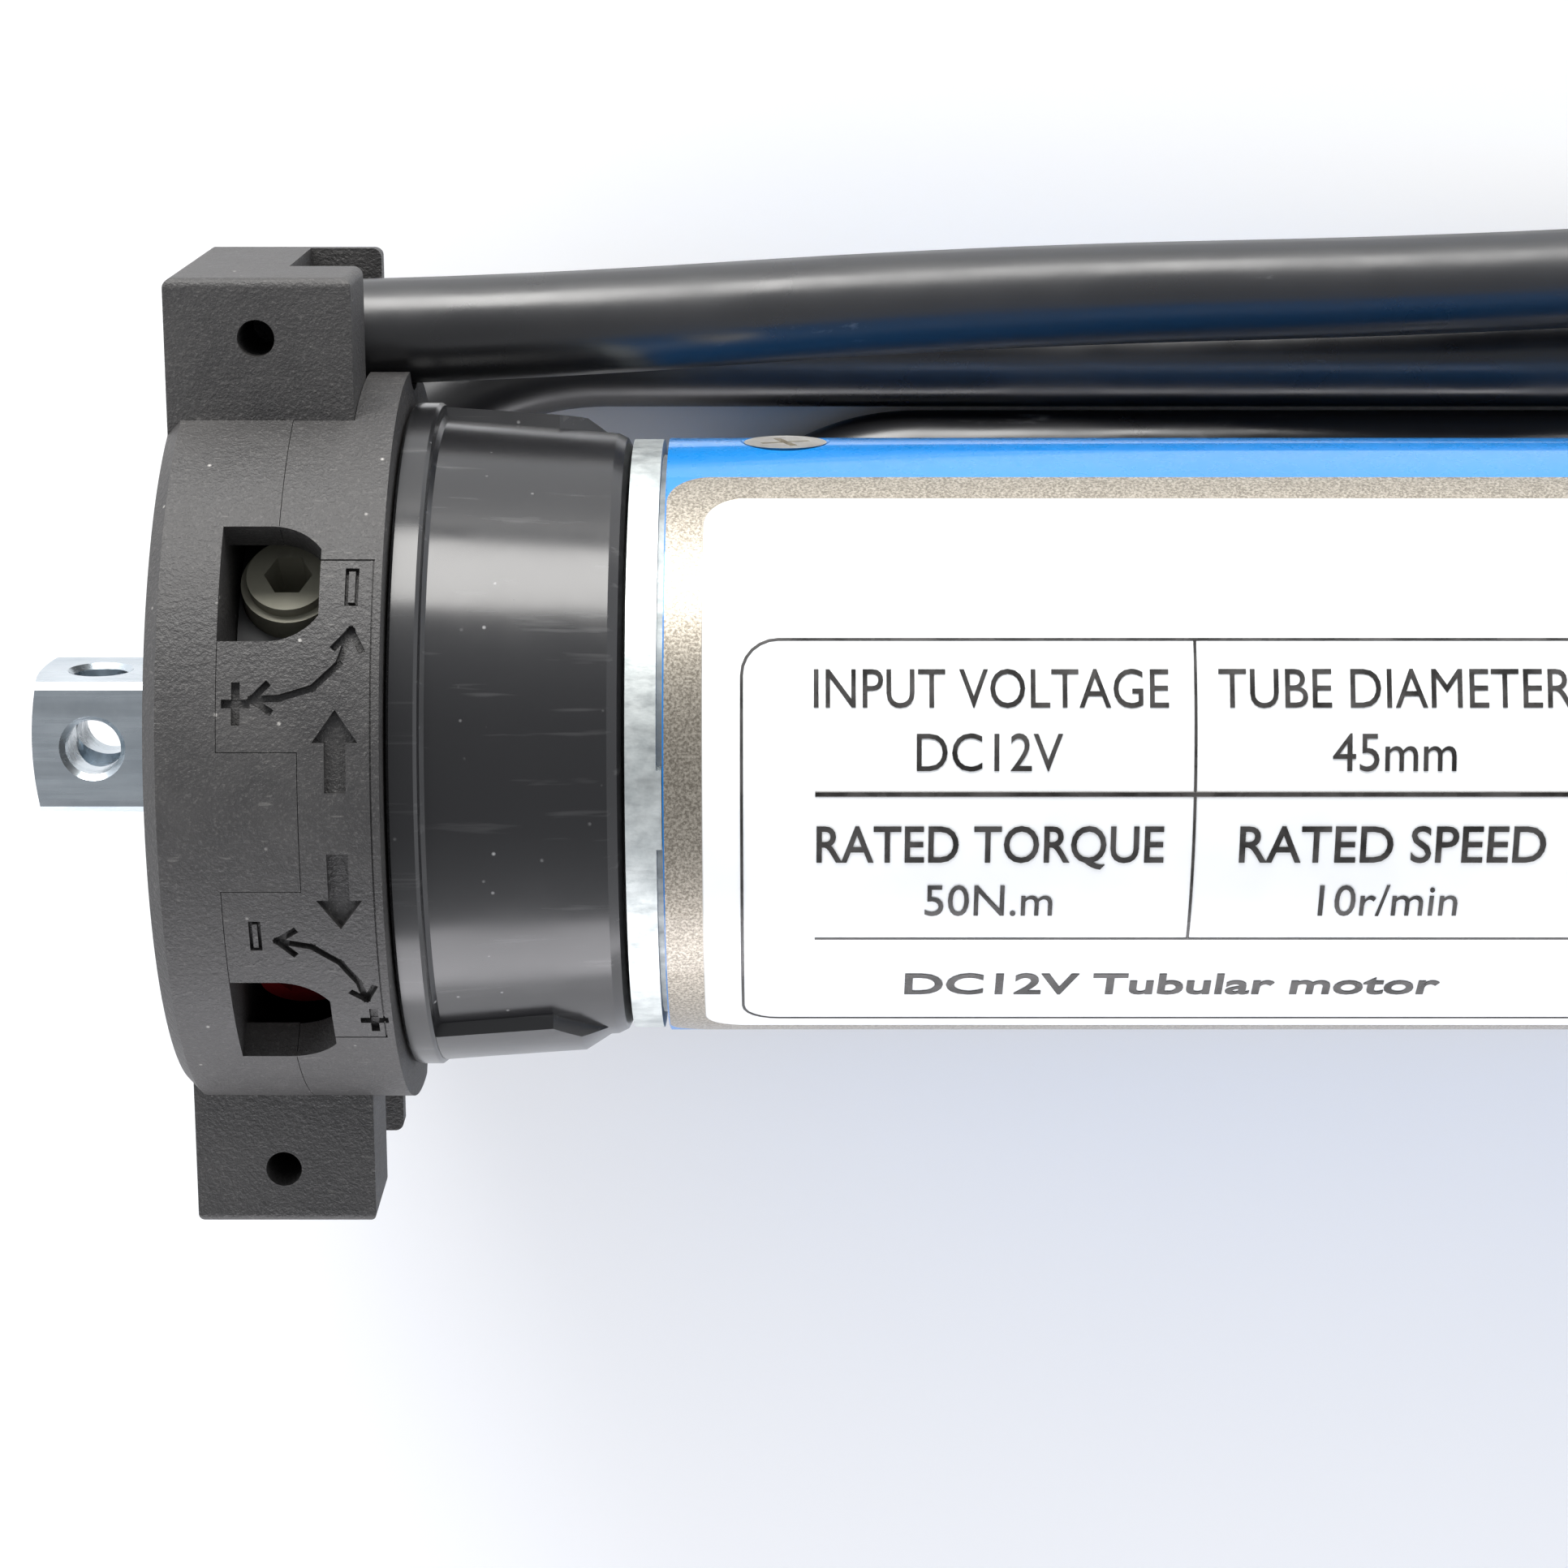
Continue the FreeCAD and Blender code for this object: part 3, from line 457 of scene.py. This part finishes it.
def label_text(name, text, x, s, height, width=None, weight=0.0):
    """Text centred at x, standing on the line s round the tube; width stretches it."""
    font = bpy.data.curves.new(name, "FONT")
    font.body = text
    font.align_x = "CENTER"
    font.extrude = PRINT_H / 2
    font.offset = weight
    font.resolution_u = 4
    font.size = 1.0
    source = bpy.data.objects.new(name + "_source", font)
    bpy.context.scene.collection.objects.link(source)
    bpy.context.view_layer.update()
    mesh = bpy.data.meshes.new_from_object(source.evaluated_get(bpy.context.evaluated_depsgraph_get()))
    bpy.data.objects.remove(source)
    high = max(v.co.y for v in mesh.vertices if v.co.y < 0.8)
    left = min(v.co.x for v in mesh.vertices)
    right = max(v.co.x for v in mesh.vertices)
    scale_y = height / high
    scale_x = width / (right - left) if width else scale_y
    for v in mesh.vertices:
        lift = PRINT_H if v.co.z > 0 else 0.0
        v.co = on_tube(x + (v.co.x - (left + right) / 2) * scale_x, s + v.co.y * scale_y, lift)
    obj = bpy.data.objects.new(name, mesh)
    bpy.context.scene.collection.objects.link(obj)
    finish_print(obj)


def label_rule(name, points, width):
    """A printed line through (x, s) points: a thin strip with a closed section."""
    dense = []
    for (xa, sa), (xb, sb) in zip(points, points[1:]):
        steps = max(1, int(abs(sb - sa) / 0.8))
        dense += [(xa + (xb - xa) * i / steps, sa + (sb - sa) * i / steps) for i in range(steps)]
    dense.append(points[-1])
    verts, faces = [], []
    for i, (x, s) in enumerate(dense):
        before, after = dense[max(i - 1, 0)], dense[min(i + 1, len(dense) - 1)]
        along = Vector((after[0] - before[0], after[1] - before[1])).normalized()
        nx, ns = -along.y * width / 2, along.x * width / 2
        verts += [on_tube(x + nx, s + ns, 0), on_tube(x - nx, s - ns, 0),
                  on_tube(x - nx * 0.7, s - ns * 0.7, PRINT_H), on_tube(x + nx * 0.7, s + ns * 0.7, PRINT_H)]
        if i:
            a, b = 4 * i - 4, 4 * i
            faces += [(a + k, a + (k + 1) % 4, b + (k + 1) % 4, b + k) for k in range(4)]
    end = len(verts) - 4
    faces += [(3, 2, 1, 0), (end, end + 1, end + 2, end + 3)]
    mesh = bpy.data.meshes.new(name)
    mesh.from_pydata(verts, [], faces)
    mesh.update()
    obj = bpy.data.objects.new(name, mesh)
    bpy.context.scene.collection.objects.link(obj)
    finish_print(obj)


def corner(cx, cs, r, a0, a1, steps=6):
    out = []
    for i in range(steps + 1):
        a = math.radians(a0 + (a1 - a0) * i / steps)
        out.append((cx + r * math.cos(a), cs + r * math.sin(a)))
    return out


# heights round the tube, in millimetres from the top line, + towards the cable side
FRAME_X0, FRAME_X1 = 41.5, 130.0
FRAME_S0, FRAME_S1 = -21.9, 11.9
FRAME_R = 2.6
DIVIDER_X = 73.5
RULE_S, THIN_RULE_S = 0.9, -10.8

frame_line = (corner(FRAME_X1 - FRAME_R, FRAME_S1 - FRAME_R, FRAME_R, 0, 90)
              + corner(FRAME_X0 + FRAME_R, FRAME_S1 - FRAME_R, FRAME_R, 90, 180)
              + corner(FRAME_X0 + FRAME_R, FRAME_S0 + FRAME_R, FRAME_R, 180, 270)
              + corner(FRAME_X1 - FRAME_R, FRAME_S0 + FRAME_R, FRAME_R, 270, 360))
frame_line.append(frame_line[0])
label_rule("print_frame", frame_line, 0.22)
label_rule("print_divider", [(DIVIDER_X, FRAME_S1), (DIVIDER_X, THIN_RULE_S)], 0.22)
label_rule("print_rule_thick", [(46.7, RULE_S), (124.5, RULE_S)], 0.42)
label_rule("print_rule_thin", [(46.7, THIN_RULE_S), (124.5, THIN_RULE_S)], 0.2)

LEFT_X, RIGHT_X = 59.1, 87.6
label_text("print_voltage_caption", "INPUT VOLTAGE", LEFT_X, 7.0, 2.75, 25.0)
label_text("print_voltage", "DC12V", LEFT_X - 0.1, 2.55, 2.65, 10.3)
label_text("print_tube_caption", "TUBE DIAMETER", RIGHT_X, 7.0, 2.75, 25.0)
label_text("print_tube", "45mm", RIGHT_X - 0.1, 2.55, 2.65, 8.7)
label_text("print_torque_caption", "RATED TORQUE", LEFT_X, -4.15, 2.75, 24.6, 0.008)
label_text("print_torque", "50N.m", LEFT_X, -8.6, 2.6, 9.1)
label_text("print_speed_caption", "RATED SPEED", RIGHT_X, -4.15, 2.75, 21.7, 0.008)
label_text("print_speed", "10r/min", RIGHT_X, -8.6, 2.6, 9.9)
label_text("print_kind", "DC12V Tubular motor", 72.8, -17.3, 2.7, 39.0, 0.02)

# ---------------------------------------------------------------------------
# Floor, lights, surroundings
# ---------------------------------------------------------------------------
FLOOR_HALF = 3.0
bpy.ops.mesh.primitive_plane_add(size=2 * FLOOR_HALF, location=(0.2, 0, FLOOR_Z * MM))
floor = bpy.context.object
floor.name = "floor"
paint(floor, floor_paper())

make_camera()
TARGET = (0.06, 0, 0)
area_light("window_behind", (-0.02, 0.78, 0.26), TARGET, 0.9, 12.0, (1.0, 0.985, 0.96), size_y=0.40)
area_light("room_front", (0.05, -0.80, 0.22), TARGET, 1.1, 5.5, (0.98, 0.96, 1.0), size_y=0.42)
area_light("fill_left", (-0.70, -0.15, 0.35), TARGET, 0.5, 1.6, (0.93, 0.96, 1.0))
room_world(0.35, 1.25)
bpy.context.scene.view_settings.view_transform = "Standard"
